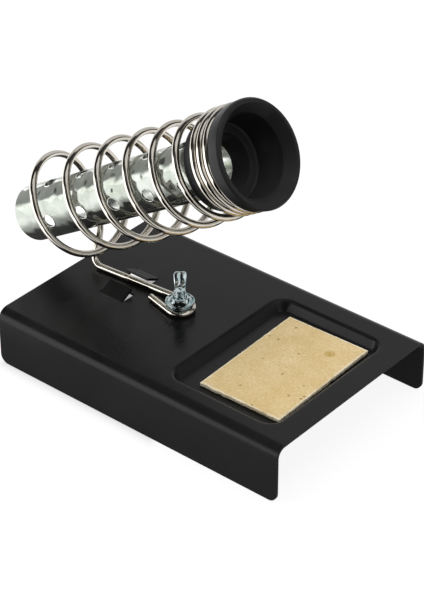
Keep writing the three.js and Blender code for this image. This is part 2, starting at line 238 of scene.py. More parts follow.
def grainGroup():
    # Fine rounded grain over long soft waves, as in a sprayed or rolled skin
    group, given, out = newGroup("surfaceGrain", {"Fine Size": 1.0, "Wave Size": 12.0, "Wave Share": 0.5,
                                                  "Roughening": 2.0}, ["Height"])
    fine, wave = (addCloud(group, given[label], Detail=given["Roughening"], Roughness=0.45)
                  for label in ("Fine Size", "Wave Size"))
    setSocket(group, out["Height"], addMix(group, given["Wave Share"], fine, wave))
    return group


def smudgeGroup():
    # Faint patches that make the gloss and the colour uneven
    group, given, out = newGroup(
        "smudges", {"Patch Size": 18.0, "Low": 0.25, "High": 0.4}, ["Roughness", "Mask"])
    cloud = addCloud(group, given["Patch Size"], Detail=5.0, Roughness=0.6, Distortion=0.4)
    setSocket(group, out["Roughness"], addRange(group, cloud, 0.32, 0.68, given["Low"], given["High"]))
    setSocket(group, out["Mask"], addRange(group, cloud, 0.35, 0.65))
    return group


surfaceGrain = grainGroup()
smudges = smudgeGroup()


def newMaterial(name, **settings):
    material = bpy.data.materials.new(name)
    material.use_nodes = True
    tree = material.node_tree
    shader = tree.nodes["Principled BSDF"]
    for key, value in settings.items():
        shader.inputs[key].default_value = value
    return material, tree, shader


# What makes a coated, plated or moulded skin: one dictionary each
paintSet = {"dark": (0.0075, 0.0075, 0.0077), "pale": (0.0105, 0.0105, 0.0107), "level": 0.2,
            "grain": {"Fine Size": 0.9, "Wave Size": 9.0, "Wave Share": 0.75},
            "gloss": {"Patch Size": 26.0, "Low": 0.24, "High": 0.33}, "bump": 0.02}
plasticSet = {"dark": (0.0215, 0.0215, 0.022), "pale": (0.026, 0.026, 0.0265), "level": 0.14,
              "grain": {"Fine Size": 0.35, "Wave Size": 6.0, "Wave Share": 0.4},
              "gloss": {"Patch Size": 12.0, "Low": 0.3, "High": 0.42}, "bump": 0.012}
wireSkinSet = {"dark": (0.62, 0.575, 0.5), "pale": (0.73, 0.69, 0.62),
               "grain": {"Fine Size": 0.8, "Wave Size": 5.0, "Wave Share": 0.6},
               "gloss": {"Patch Size": 7.0, "Low": 0.05, "High": 0.09}, "bump": 0.004}
zincSet = {"dark": (0.24, 0.36, 0.38), "pale": (0.8, 0.87, 0.88),
           "grain": {"Fine Size": 0.5, "Wave Size": 3.0, "Wave Share": 0.75},
           "gloss": {"Patch Size": 3.0, "Low": 0.04, "High": 0.1}, "bump": 0.012}
tubeSkinSet = {"dark": (0.32, 0.345, 0.3), "pale": (0.47, 0.495, 0.455),
               "grain": {"Fine Size": 5.0, "Wave Size": 13.0, "Wave Share": 0.35, "Roughening": 0.0},
               "gloss": {"Patch Size": 9.0, "Low": 0.05, "High": 0.13}, "bump": 0.7}
# The tube's inside is the same steel painted near white: painted light for the bright view down the bore
tubeInsidePaintedLightSet = {"dark": (0.86, 0.88, 0.84), "pale": (0.94, 0.95, 0.92),
                 "grain": {"Fine Size": 5.0, "Wave Size": 12.0, "Wave Share": 0.5, "Roughening": 0.0},
                 "gloss": {"Patch Size": 9.0, "Low": 0.12, "High": 0.2}, "bump": 0.1}
# The rims are the tube's steel drawn paler: a painted highlight round each hole
tubeRimHighlightSet = {"dark": (0.6, 0.62, 0.58), "pale": (0.8, 0.82, 0.78),
              "grain": {"Fine Size": 0.8, "Wave Size": 3.0},
              "gloss": {"Patch Size": 3.0, "Low": 0.1, "High": 0.2}, "bump": 0.02}


def coatedMaterial(name, skin, metallic):
    material, tree, shader = newMaterial(
        name, Metallic=metallic, **{"Specular IOR Level": skin.get("level", 0.5)})
    gloss = addNode(tree, "ShaderNodeGroup", node_tree=smudges, **skin["gloss"])
    grain = addNode(tree, "ShaderNodeGroup", node_tree=surfaceGrain, **skin["grain"])
    colour = colourRamp(tree, gloss.outputs["Mask"], [(0.0, skin["dark"]), (1.0, skin["pale"])])
    tree.links.new(colour, shader.inputs["Base Color"])
    tree.links.new(gloss.outputs["Roughness"], shader.inputs["Roughness"])
    addBump(tree, shader, grain.outputs["Height"], skin["bump"])
    return material


blackPaint = coatedMaterial("blackPowderCoat", paintSet, 0.0)
blackPlastic = coatedMaterial("blackMouldedPlastic", plasticSet, 0.0)
springWire = coatedMaterial("nickelSpringWire", wireSkinSet, 1.0)
brightZinc = coatedMaterial("brightZinc", zincSet, 1.0)
tubeSteel = coatedMaterial("brightTubeSteel", tubeSkinSet, 0.86)
tubeInsidePaintedLight = coatedMaterial("brightTubeInsidePaintedLight", tubeInsidePaintedLightSet, 1.0)
tubeRimPaintedHighlight = coatedMaterial("brightTubeRimPaintedHighlight", tubeRimHighlightSet, 1.0)
print("materials ready")


# Base: one folded sheet with a pressed tray, two stops and the screw's hole
baseSet = {"length": 150, "width": 98, "height": 26, "sheet": 1.2, "foldRadius": 5, "foldSteps": 16,
           "columns": 49, "endCornerRadius": 4, "endCornerSteps": 8, "edgeRound": 0.12,
           "roundAbove": 50, "sharpAbove": 40, "weld": 0.01}
traySet = {"x": 36.8, "y": -1.3, "width": 55, "length": 74, "depth": 4.5, "wallRun": 2.8,
           "edgeRadius": 2.2, "floorRadius": 1.1, "cornerRadius": 7, "cornerTighten": 1.7,
           "lip": 3.0, "tightestCorner": 1.5, "cornerSteps": 10}
stopSet = {"x": -45.6, "length": 12, "reach": 7.6, "bend": 27, "bendRadius": 1.5, "gap": 0.5,
           "hinges": ((-11.2, 1), (12.9, -1)), "columns": 8, "rows": 12}
screwSet = {"x": -16.3, "y": 0, "diameter": 5, "proud": 10.4, "holeDiameter": 5.6, "holeSides": 32,
            "pitch": 0.8, "threadDepth": 0.42, "threadSlope": 1.35, "threadCrest": 0.1,
            "headDiameter": 9.5, "headHeight": 2.8, "gap": 0.15,
            "recessWidth": 1.1, "recessSpan": 5.2, "recessDepth": 1.5, "chamfer": 0.6,
            "sides": 40, "rowsPerTurn": 10, "dimple": ((1.75, 0), (1.1, 0.05), (0.5, 0.25))}


def endReach(height):
    # Half the length of the sheet at some height: the flanges' lower corners are round
    radius = baseSet["endCornerRadius"]
    below = max(radius - height, 0)
    return baseSet["length"] / 2 - radius + sqrt(radius ** 2 - below ** 2)


def quarterTurn(steps):
    return [pi / 2 * k / steps for k in range(steps + 1)]


def foldProfile():
    # (distance from the flat, height) from the flat's edge over the fold and down the flange
    radius, top, corner = (baseSet[key] for key in ("foldRadius", "height", "endCornerRadius"))
    points = [(radius * sin(angle), top - radius + radius * cos(angle))
              for angle in quarterTurn(baseSet["foldSteps"])]
    points.append((radius, (top - radius + corner) / 2))
    return points + [(radius, corner * (1 - sin(angle)))
                     for angle in quarterTurn(baseSet["endCornerSteps"])]


def trayRing(inset):
    tighten = traySet["cornerTighten"] if inset > 0 else 1
    radius = max(traySet["cornerRadius"] - inset * tighten, traySet["tightestCorner"])
    halfX, halfY = (traySet[key] / 2 - inset for key in ("width", "length"))
    corners = [(traySet["x"] + sx * halfX, traySet["y"] + sy * halfY, radius)
               for sx, sy in ((1, -1), (1, 1), (-1, 1), (-1, -1))]
    return roundedLine(corners, traySet["cornerSteps"], closed=True)


def stopColumns():
    first = stopSet["x"] - stopSet["length"] / 2
    return [first + stopSet["length"] * k / stopSet["columns"] for k in range(stopSet["columns"] + 1)]


def stopOutline(hinge, side):
    # The window round a stop, its hinge side split into the stop's own columns
    half = stopSet["length"] / 2 + stopSet["gap"]
    left, right = stopSet["x"] - half, stopSet["x"] + half
    far = hinge + side * (stopSet["reach"] + stopSet["gap"])
    points = [(x, hinge) for x in [left, *stopColumns(), right]] + [(right, far), (left, far)]
    return [Vector(p) for p in points]


def inside(point, loop):
    hit = False
    for a, b in zip(loop, loop[1:] + loop[:1]):
        if (a.y > point.y) != (b.y > point.y):
            if point.x < a.x + (b.x - a.x) * (point.y - a.y) / (b.y - a.y):
                hit = not hit
    return hit


def flatWithWindows(outline, windows, height):
    # Flat sheet with holes, triangulated between its own outlines
    points, edges = [], []
    for loop in [outline] + windows:
        start = len(points)
        points += loop
        edges += [(start + k, start + (k + 1) % len(loop)) for k in range(len(loop))]
    flat, _, triangles, _, _, _ = delaunay_2d_cdt(points, edges, [], 1, 1e-5)
    kept = []
    for triangle in triangles:
        middle = sum((flat[k] for k in triangle), Vector((0, 0))) / 3
        if not any(inside(middle, loop) for loop in windows):
            kept.append(triangle)
    return [Vector((p.x, p.y, height)) for p in flat], kept


def stopSheet(hinge, side):
    bend = radians(stopSet["bend"])
    radius = stopSet["bendRadius"]
    verts = []
    for i in range(stopSet["rows"] + 1):
        run = stopSet["reach"] * i / stopSet["rows"]
        turned = min(run / radius, bend)
        straight = max(run - radius * bend, 0)
        away = radius * sin(turned) + straight * cos(bend)
        rise = radius * (1 - cos(turned)) + straight * sin(bend)
        verts += [Vector((x, hinge + side * away, baseSet["height"] + rise)) for x in stopColumns()]
    return verts, gridFaces(stopSet["rows"] + 1, stopSet["columns"] + 1)


def makeBasePlate():
    verts, faces = [], []

    def add(newVerts, newFaces):
        start = len(verts)
        verts.extend(newVerts)
        faces.extend(tuple(start + k for k in face) for face in newFaces)

    top = baseSet["height"]
    flatEdge = baseSet["width"] / 2 - baseSet["foldRadius"]
    shares = [-1 + 2 * k / (baseSet["columns"] - 1) for k in range(baseSet["columns"])]
    profile = foldProfile()
    for side in (1, -1):
        strip = [Vector((share * endReach(height), side * (flatEdge + away), height))
                 for away, height in profile for share in shares]
        add(strip, gridFaces(len(profile), len(shares)))

    half = baseSet["length"] / 2
    outline = [Vector((share * half, -flatEdge)) for share in shares]
    outline += [Vector((-share * half, flatEdge)) for share in shares]
    trayOutline = trayRing(-traySet["lip"])
    hole = [Vector((screwSet["x"], screwSet["y"])) + v.xy
            for v in ringVerts(screwSet["holeDiameter"] / 2, top, screwSet["holeSides"])]
    windows = [trayOutline, hole] + [stopOutline(*hinge) for hinge in stopSet["hinges"]]
    add(*flatWithWindows(outline, windows, top))

    # The press leaves a soft edge, a sloping wall and a tight bend at the floor
    section = roundedLine([(-traySet["lip"], 0, 0), (0, 0, traySet["edgeRadius"]),
                           (traySet["wallRun"], -traySet["depth"], traySet["floorRadius"]),
                           (traySet["wallRun"] + traySet["lip"], -traySet["depth"], 0)], 8)
    rings = [[Vector((p.x, p.y, top + drop)) for p in trayRing(inset)] for inset, drop in section]
    add([v for ring in rings for v in ring], gridFaces(len(rings), len(rings[0]), wrapColumns=True))
    add(rings[-1], [tuple(range(len(rings[-1])))])

    for hinge, side in stopSet["hinges"]:
        add(*stopSheet(hinge, side))

    piece = makeMesh("basePlate", verts, faces)
    weld = bmesh.new()
    weld.from_mesh(piece.data)
    bmesh.ops.remove_doubles(weld, verts=weld.verts, dist=baseSet["weld"] * mm)
    for face in weld.faces:
        middle = face.calc_center_median()
        outwards = face.normal.z > 0 if abs(face.normal.z) > 0.01 else face.normal.y * middle.y > 0
        if not outwards:
            face.normal_flip()
    weld.to_mesh(piece.data)
    weld.free()
    addModifier(piece, "SOLIDIFY", thickness=baseSet["sheet"] * mm, offset=-1, use_even_offset=True)
    addModifier(piece, "BEVEL", width=baseSet["edgeRound"] * mm, segments=2, limit_method="ANGLE",
                angle_limit=radians(baseSet["roundAbove"]))
    applyModifiers(piece)
    smoothShade(piece, baseSet["sharpAbove"])
    addModifier(piece, "WEIGHTED_NORMAL", keep_sharp=True, weight=100)
    applyModifiers(piece)
    finishPiece(piece, blackPaint, "base", ["base_plate"])


makeBasePlate()


# Sponge: a thin dry cellulose sheet, cut with a knife, a little out of square in its tray
spongeSet = {"length": 60.5, "width": 40.2, "thickness": 1.6, "turn": 1.6, "shiftX": 3.5, "shiftY": 0.9,
             "gap": 0.3, "rows": 150, "columns": 100, "edgeWander": 0.4, "skinRipple": 0.05,
             "edgeRound": 0.18, "edgeRun": 0.5, "sideLevels": 4, "paleBorder": 2, "seed": 7,
             "edgeReach": 6, "edgeWaves": ((0.35, 9.1, 0, 0.75), (2.1, 5.3, 3, 0.35)),
             "ripples": ((0.9, 1), (2.6, 0.6)), "cutScale": 1.7, "cutShare": 0.6, "cutSink": 0.05}
# Texture scales are per metre, and the scorch is in millimetres
spongeLook = {"cloud": {"Scale": 90.0, "Detail": 4.0, "Roughness": 0.6},
              "fibre": {"Scale": 1150.0, "Detail": 2.0, "Roughness": 0.55, "Distortion": 0.8},
              "pores": 800.0, "cells": 250.0, "fibreShare": 0.6, "poreShare": 0.4, "bump": 0.25,
              "speckEdge": (0.19, 0.08), "speck": (0.34, 0.2, 0.06, 1),
              "scorchPlace": (61.8, 18.2, 23.4), "scorchEdge": (3.4, 0.9), "scorchFibre": (0.36, 0.58),
              "scorch": (0.46, 0.28, 0.035, 1)}


def spongeMaterial(name, tones, plainShare):
    material, tree, shader = newMaterial(
        name, Roughness=0.93, **{"Specular IOR Level": 0.25, "Sheen Weight": 0.12, "Sheen Roughness": 0.6})
    look = spongeLook
    place = addNode(tree, "ShaderNodeTexCoord").outputs["Object"]
    cloud, fibre = (addNode(tree, "ShaderNodeTexNoise", Vector=place, **look[key]).outputs["Fac"]
                    for key in ("cloud", "fibre"))
    pores, cells = (addNode(tree, "ShaderNodeTexVoronoi", Vector=place, Scale=look[key], Randomness=1.0)
                    for key in ("pores", "cells"))
    tone = addMix(tree, look["fibreShare"], cloud, fibre)
    colour = colourRamp(tree, tone, list(zip((0.3, 0.5, 0.7), tones)))
    # A tip left one patchy scorch near the corner
    middle = [side * mm for side in look["scorchPlace"]]
    away = addMath(tree, "DISTANCE", place, middle, "ShaderNodeVectorMath")
    near = addRange(tree, away, *(edge * mm for edge in look["scorchEdge"]), smooth=True)
    patchy = addRange(tree, fibre, *look["scorchFibre"])
    colour = addMix(tree, addMath(tree, "MULTIPLY", near, patchy), colour, look["scorch"], "RGBA")
    # Some of the cells hold a dark speck
    speck = addRange(tree, cells.outputs["Distance"], *look["speckEdge"])
    draw = addNode(tree, "ShaderNodeSeparateColor", Color=cells.outputs["Color"]).outputs["Red"]
    chosen = addMath(tree, "GREATER_THAN", draw, plainShare)
    colour = addMix(tree, addMath(tree, "MULTIPLY", speck, chosen), colour, look["speck"], "RGBA")
    tree.links.new(colour, shader.inputs["Base Color"])
    addBump(tree, shader, addMix(tree, look["poreShare"], fibre, pores.outputs["Distance"]), look["bump"])
    return material


spongeSkin = spongeMaterial(
    "spongeSkin", ((0.63, 0.455, 0.175), (0.735, 0.55, 0.27), (0.86, 0.69, 0.42)), 0.66)
spongePaleEdge = spongeMaterial(
    "spongePaleEdge", ((0.58, 0.44, 0.24), (0.84, 0.73, 0.5), (0.97, 0.92, 0.76)), 0.95)


def makeSponge():
    # Closed sheet: a grid over the top, round the cut sides and under
    width, length, thick = (spongeSet[key] for key in ("width", "length", "thickness"))
    columns, rows, seed, wander = (spongeSet[key] for key in ("columns", "rows", "seed", "edgeWander"))
    middle = Vector((traySet["x"] + spongeSet["shiftX"], traySet["y"] + spongeSet["shiftY"],
                     baseSet["height"] - traySet["depth"] + spongeSet["gap"]))
    place = Matrix.Translation(middle) @ Matrix.Rotation(radians(spongeSet["turn"]), 4, "Z")

    def edgeOffset(run, side):
        return wander * sum(share * noise.noise(Vector((run * scale, side * step, seed + shift)))
                            for scale, step, shift, share in spongeSet["edgeWaves"])

    def skin(share, shareLength, height):
        x = (share - 0.5) * width
        y = (shareLength - 0.5) * length
        toSide, toEnd = share * 2 - 1, shareLength * 2 - 1
        x += toSide * edgeOffset(y, 1 if share > 0.5 else 2) * abs(toSide) ** spongeSet["edgeReach"]
        y += toEnd * edgeOffset(x, 3 if shareLength > 0.5 else 4) * abs(toEnd) ** spongeSet["edgeReach"]
        if height == 0:
            return Vector((x, y, 0))
        near = min(width / 2 - abs(x), length / 2 - abs(y))
        lift = spongeSet["skinRipple"] * sum(share * noise.noise(Vector((x * scale, y * scale, seed)))
                                             for scale, share in spongeSet["ripples"])
        lift -= spongeSet["edgeRound"] * max(0, 1 - near / spongeSet["edgeRun"]) ** 2
        return Vector((x, y, height + min(lift, 0)))

    across, along = columns + 1, rows + 1
    verts = [skin(i / columns, j / rows, height)
             for height in (thick, 0) for j in range(along) for i in range(across)]
    layer = across * along
    top = gridFaces(along, across)
    under = [tuple(k + layer for k in face) for face in top]
    border = list(range(across)) + [j * across + columns for j in range(1, along)]
    border += [rows * across + i for i in range(columns - 1, -1, -1)]
    border += [j * across for j in range(rows - 1, 0, -1)]
    levels, sideVerts = spongeSet["sideLevels"], []
    for level in range(1, levels):
        for k in border:
            point = verts[k].lerp(verts[k + layer], level / levels)
            rough = wander * noise.noise(point * spongeSet["cutScale"] + Vector((seed, 0, 0)))
            outwards = Vector((point.x / width, point.y / length, 0)).normalized()
            sideVerts.append(point + outwards * (rough * spongeSet["cutShare"] - spongeSet["cutSink"]))
    loops = border + [len(verts) + k for k in range(len(sideVerts))] + [k + layer for k in border]
    sides = [tuple(loops[k] for k in face)
             for face in gridFaces(levels + 1, len(border), wrapColumns=True)]
    verts += sideVerts
    piece = makeMesh("spongeSheet", verts, top + under + sides, place)
    piece.data.shade_smooth()
    finishPiece(piece, spongeSkin, "sponge", ["sponge"])
    piece.data.materials.append(spongePaleEdge)
    # The sides and the very border of the skin take the paler material
    firstSide = len(top) + len(under)
    for face in piece.data.polygons:
        column, row = face.index % columns, face.index // columns
        toEdge = min(column, row, columns - 1 - column, rows - 1 - row)
        onBorder = face.index < len(top) and toEdge < spongeSet["paleBorder"]
        if face.index >= firstSide or onBorder:
            face.material_index = 1


makeSponge()


# Clamp screw, washer and wing nut on one axis
washerSet = {"diameter": 11.6, "bore": 5.6, "thickness": 0.8, "round": 0.2}
nutSet = {"flangeDiameter": 12.6, "flangeThickness": 1, "dish": 0.3, "bossDiameter": 8.2, "bossTop": 7,
          "bossHeight": 2.8, "bore": 5.6,
          "wingRoot": (2.9, 2.4), "wingBow": (8.2, 2.3), "wingTip": (10.4, 8.5),
          "rootWidth": 4.5, "tipWidth": 6.2, "rootDepth": 3.4, "tipDepth": 1.8, "tipCorner": 1.6,
          "seamDepth": 0.45, "seamWidth": 0.17, "sideHollow": 0.4, "hollowWidth": 0.5, "hollowEase": 2.5,
          "square": 0.62, "tipRound": 0.8, "tipFlat": 0.08, "turn": -50, "rises": (0.88, 1.0),
          "wingSteps": 22, "stepEase": 1.6, "sectionSteps": 56}
wireSet = {"diameter": 3, "gap": 0.15, "sides": 24, "endChamfer": 0.18}
footHeight = baseSet["height"] + wireSet["gap"] + wireSet["diameter"] / 2
washerUnder = footHeight + wireSet["diameter"] / 2 + wireSet["gap"]
nutUnder = washerUnder + washerSet["thickness"] + wireSet["gap"]
clampPlace = Matrix.Translation((screwSet["x"], screwSet["y"], 0))


def makeScrew():
    top = baseSet["height"]
    tip = top + screwSet["proud"]
    headTop = top - baseSet["sheet"] - screwSet["gap"]
    headUnder = headTop - screwSet["headHeight"]
    radius = screwSet["diameter"] / 2
    pitch, depth = screwSet["pitch"], screwSet["threadDepth"]
    segments = screwSet["sides"]
    steps = round((tip - headTop) / pitch * screwSet["rowsPerTurn"])
    verts = []
    for i in range(steps + 1):
        height = headTop + (tip - headTop) * i / steps
        for k in range(segments):
            # The groove winds round: a flat crest, a slope and a flat root in each pitch
            turn = (height / pitch - k / segments) % 1
            crest = abs(2 * turn - 1)
            groove = (1 - crest) * screwSet["threadSlope"] - screwSet["threadCrest"]
            r = radius - depth * min(1, max(0, groove))
            r = min(r, radius - screwSet["chamfer"] + (tip - height))
            verts.append(polar(r, 2 * pi * k / segments, height))
    # A shallow turned dimple closes the tip
    for r, sink in screwSet["dimple"]:
        verts += ringVerts(r, tip - sink, segments)
    faces = cappedFaces(len(verts) // segments, segments)
    piece = makeMesh("clampScrew", verts, faces, clampPlace)
    headRadius, span = screwSet["headDiameter"] / 2, screwSet["recessSpan"] / 2
    profile = roundedLine([(0.01, headTop, 0), (headRadius, headTop, 0.3), (headRadius, headUnder, 1.4),
                           (0.01, headUnder, 0)], 6)
    head = makeMesh("screwHead", *turnedMesh(profile, 48, closed=False), clampPlace)
    for turn in (0, pi / 2):
        verts = [Vector((sx * span * scale, sy * screwSet["recessWidth"] / 2, height))
                 for height, scale in ((headUnder - 1, 1.1), (headUnder + screwSet["recessDepth"], 0.6))
                 for sx, sy in ((-1, -1), (1, -1), (1, 1), (-1, 1))]
        turned = clampPlace @ Matrix.Rotation(turn, 4, "Z")
        cutWith(head, makeMesh("recessBlade", verts, cappedFaces(2, 4), turned))
    cutWith(piece, head, "UNION")
    smoothShade(piece, 38)
    finishPiece(piece, brightZinc, "base", ["clamp_screw"])


def makeWasher():
    outer, inner = washerSet["diameter"] / 2, washerSet["bore"] / 2
    low, high = washerUnder, washerUnder + washerSet["thickness"]
    edge = washerSet["round"]
    profile = roundedLine([(inner, low, edge / 2), (outer, low, edge), (outer, high, edge),
                           (inner, high, edge / 2)], 4, closed=True)
    piece = makeMesh("flatWasher", *turnedMesh(profile, 96), clampPlace)
    smoothShade(piece, 50)
    finishPiece(piece, brightZinc, "washer", ["washer"])


def wingMesh(rise):
    # A pressed wing: its section has a seam on the broad faces and a hollow on each edge
    root, bow, tip = (Vector(nutSet[key]) for key in ("wingRoot", "wingBow", "wingTip"))
    tip.y *= rise
    steps, around, corner = nutSet["wingSteps"], nutSet["sectionSteps"], nutSet["tipCorner"]
    verts = []
    for i in range(steps + 1):
        t = 1 - (1 - i / steps) ** nutSet["stepEase"]
        middle = root.lerp(bow, t).lerp(bow.lerp(tip, t), t)
        along = (bow - root).lerp(tip - bow, t).normalized()
        left = (tip - middle).length
        flat = nutSet["tipFlat"]
        squash = sqrt(max(1 - max(0, 1 - left / nutSet["tipRound"]) ** 2, 0.0)) * (1 - flat) + flat
        halfDepth = blend(nutSet["rootDepth"], nutSet["tipDepth"], t) / 2 * squash
        halfWidth = blend(nutSet["rootWidth"], nutSet["tipWidth"], t) / 2
        if left < corner:
            halfWidth -= corner - sqrt(corner ** 2 - (corner - left) ** 2)
        across = Vector((-along.y, along.x))
        for k in range(around):
            angle = 2 * pi * k / around
            p, q = (copysign(abs(side) ** nutSet["square"], side) for side in (cos(angle), sin(angle)))
            seam = nutSet["seamDepth"] * exp(-(q / nutSet["seamWidth"]) ** 2)
            hollow = nutSet["sideHollow"] * exp(-(p / nutSet["hollowWidth"]) ** 2)
            hollow *= min(1, t * nutSet["hollowEase"]) * squash
            p = copysign(max(abs(p) * halfDepth - seam * squash, 0), p)
            q = copysign(max(abs(q) * halfWidth - hollow, 0), q)
            point = middle + across * p
            verts.append(Vector((point.x, q, point.y)))
    return verts, cappedFaces(steps + 1, around)


def makeWingNut():
    flange, boss, bossTop = (nutSet[key] / 2 for key in ("flangeDiameter", "bossDiameter", "bossTop"))
    thick, high, bore = nutSet["flangeThickness"], nutSet["bossHeight"], nutSet["bore"] / 2
    web = thick - nutSet["dish"]
    profile = roundedLine([(bore, 0.2, 0), (bore + 0.3, 0, 0), (flange - 0.2, 0, 0.3), (flange, 0.35, 0.2),
                           (flange, thick, 0.3), (flange - 0.55, thick, 0.22), (flange - 1.1, web, 0.4),
                           (boss, web + 0.15, 0.6), (bossTop, high, 0.35), (bore + 0.25, high, 0.1),
                           (bore, high - 0.35, 0)], 5, closed=True)
    turn = Matrix.Rotation(radians(nutSet["turn"]), 4, "Z")
    place = clampPlace @ Matrix.Translation((0, 0, nutUnder)) @ turn
    piece = makeMesh("wingNut", *turnedMesh(profile, 96), place)
    for turn, rise in zip((0, pi), nutSet["rises"]):
        wing = makeMesh("wing", *wingMesh(rise), place @ Matrix.Rotation(turn, 4, "Z"))
        cutWith(piece, wing, "UNION")
    cutWith(piece, makeMesh("boreTool", *closedRod(bore, -2, 14, 96), place))
    smoothShade(piece, 42)
    finishPiece(piece, brightZinc, "wing_nut", ["wing_nut"])


makeScrew()
makeWasher()
makeWingNut()


# Holder axis: X sideways, Y upwards, Z out of the mouth
holderSet = {"mouthX": 24.7, "mouthY": 0, "abovePlate": 90.9, "tilt": 31, "yaw": 1.9}
tilt, yaw = radians(holderSet["tilt"]), radians(holderSet["yaw"])
outward = Vector((cos(yaw) * cos(tilt), sin(yaw) * cos(tilt), sin(tilt)))
sideways = Vector((-sin(yaw), cos(yaw), 0))
upwards = outward.cross(sideways)
holderPlace = Matrix((sideways, upwards, outward)).transposed().to_4x4()
mouthHeight = baseSet["height"] + holderSet["abovePlate"]
holderPlace.translation = (holderSet["mouthX"], holderSet["mouthY"], mouthHeight)

collarSet = {"rim": 45, "rimBack": 44.2, "rimThickness": 4.8, "rimEdge": 0.94, "face": 43.6,
             "faceProud": 1.24, "mouth": 40.8, "mouthDepth": 4.8, "cup": 34, "cupBottom": 32.6,
             "cupDepth": 18.5, "floor": 5.54, "sleeveRound": 1, "boreMouth": 24.3, "spigotBore": 19.2,
             "spigotLength": 2.5, "segments": 160}
coilSet = {"openTurns": 5.9, "closingTurns": 0.6, "sleeveTurns": 2.3, "flatTurns": 0.25,
           "firstSpacing": 23.3, "lastSpacing": 12.4, "sleeveSpacing": 3.68, "frontRadius": 22.5,
           "sleeveRadius": 20.8, "sag": 1, "leanUp": 1.2, "leanSide": 1.6, "gap": 0.3, "stepsPerTurn": 72}
footSet = {"loopRadius": 5.4, "tailLength": 13.8, "tailAngle": 166, "legLength": 50.5, "legAngle": 184.6,
           "bendSetback": 4, "lean": 68, "leanTurn": 88,
           "tailSteps": 8, "loopSteps": 48, "legSteps": 20, "bendSteps": 14, "riseSteps": 26}
tubeSet = {"diameter": 24.3, "wall": 0.75, "length": 115.7, "edgeRound": 0.18, "hole": 5.9, "rim": 0.2,
           "columns": 4, "rows": 5, "rowSpacing": 21.3, "firstRow": 19.6, "turn": 100,
           "segments": 144, "holeSides": 40, "rimSteps": 36, "rimSides": 8}
sleeveDiameter = 2 * (coilSet["sleeveRadius"] - wireSet["diameter"] / 2 - coilSet["gap"])
collarBack = collarSet["cupDepth"] - collarSet["faceProud"] + collarSet["floor"]
tubeBore = tubeSet["diameter"] - 2 * tubeSet["wall"]
tubeFront = -(collarBack + coilSet["gap"])
tubeEnd = tubeFront - tubeSet["length"]
rowHeights = [tubeEnd + tubeSet["firstRow"] + tubeSet["rowSpacing"] * k for k in range(tubeSet["rows"])]


def columnTurns(count):
    return [radians(tubeSet["turn"]) + 2 * pi * k / tubeSet["columns"] for k in range(count)]


def makeCollar():
    face, back = collarSet["faceProud"], -collarBack
    floor = face - collarSet["cupDepth"]
    spigot = tubeBore / 2 - coilSet["gap"]
    spigotEnd = back - collarSet["spigotLength"]
    rim, rimBack, sleeve = collarSet["rim"] / 2, collarSet["rimBack"] / 2, sleeveDiameter / 2
    corners = [(collarSet["mouth"] / 2, face, 0.35), (collarSet["face"] / 2, face, 0.45),
               (rim, face - collarSet["rimEdge"], 0.8), (rimBack, -collarSet["rimThickness"], 0.35),
               (sleeve, -collarSet["rimThickness"], 0.2), (sleeve, back, collarSet["sleeveRound"]),
               (spigot, back, 0.2), (spigot, spigotEnd, 0.4),
               (collarSet["spigotBore"] / 2, spigotEnd, 0.25), (collarSet["boreMouth"] / 2, floor, 0.3),
               (collarSet["cupBottom"] / 2, floor, 1.2),
               (collarSet["cup"] / 2, face - collarSet["mouthDepth"], 1.6)]
    profile = roundedLine(corners, 6, closed=True)
    piece = makeMesh("mouthCollar", *turnedMesh(profile, collarSet["segments"]), holderPlace)
    smoothShade(piece, 50)
    finishPiece(piece, blackPlastic, "holder", ["collar"])


def turnSpacing(turn):
    # Falls over the open turns, closes to the sleeve's, and the last part lies flat on the collar's step
    opened, closing = coilSet["openTurns"], coilSet["closingTurns"]
    if turn > opened + closing + coilSet["sleeveTurns"] - coilSet["flatTurns"]:
        return 0
    wide = blend(coilSet["firstSpacing"], coilSet["lastSpacing"], min(turn / opened, 1))
    closed = min(max((turn - opened) / closing, 0), 1)
    return blend(wide, coilSet["sleeveSpacing"], closed)


def coilPath():
    turns = coilSet["openTurns"] + coilSet["closingTurns"] + coilSet["sleeveTurns"]
    steps = round(turns * coilSet["stepsPerTurn"])
    depth = collarSet["rimThickness"] + wireSet["gap"] + wireSet["diameter"] / 2
    points = []
    for k in range(steps, -1, -1):
        turn = turns * k / steps
        opened = max(1 - turn / (coilSet["openTurns"] + coilSet["closingTurns"]), 0)
        radius = blend(coilSet["sleeveRadius"], coilSet["frontRadius"], opened)
        across, above = cos(2 * pi * turn), sin(2 * pi * turn)
        sag = 4 * coilSet["sag"] * opened * (1 - opened)
        lean = opened * (coilSet["leanUp"] * above - coilSet["leanSide"] * across)
        points.append(holderPlace @ Vector((radius * across, radius * above - sag, lean - depth)))
        depth += turnSpacing(turn - turns / steps / 2) * turns / steps
    points.reverse()
    return points


def curvePoints(a, b, c, d, steps):
    return [a * (1 - t) ** 3 + b * 3 * t * (1 - t) ** 2 + c * 3 * t * t * (1 - t) + d * t ** 3
            for t in (k / steps for k in range(steps + 1))]


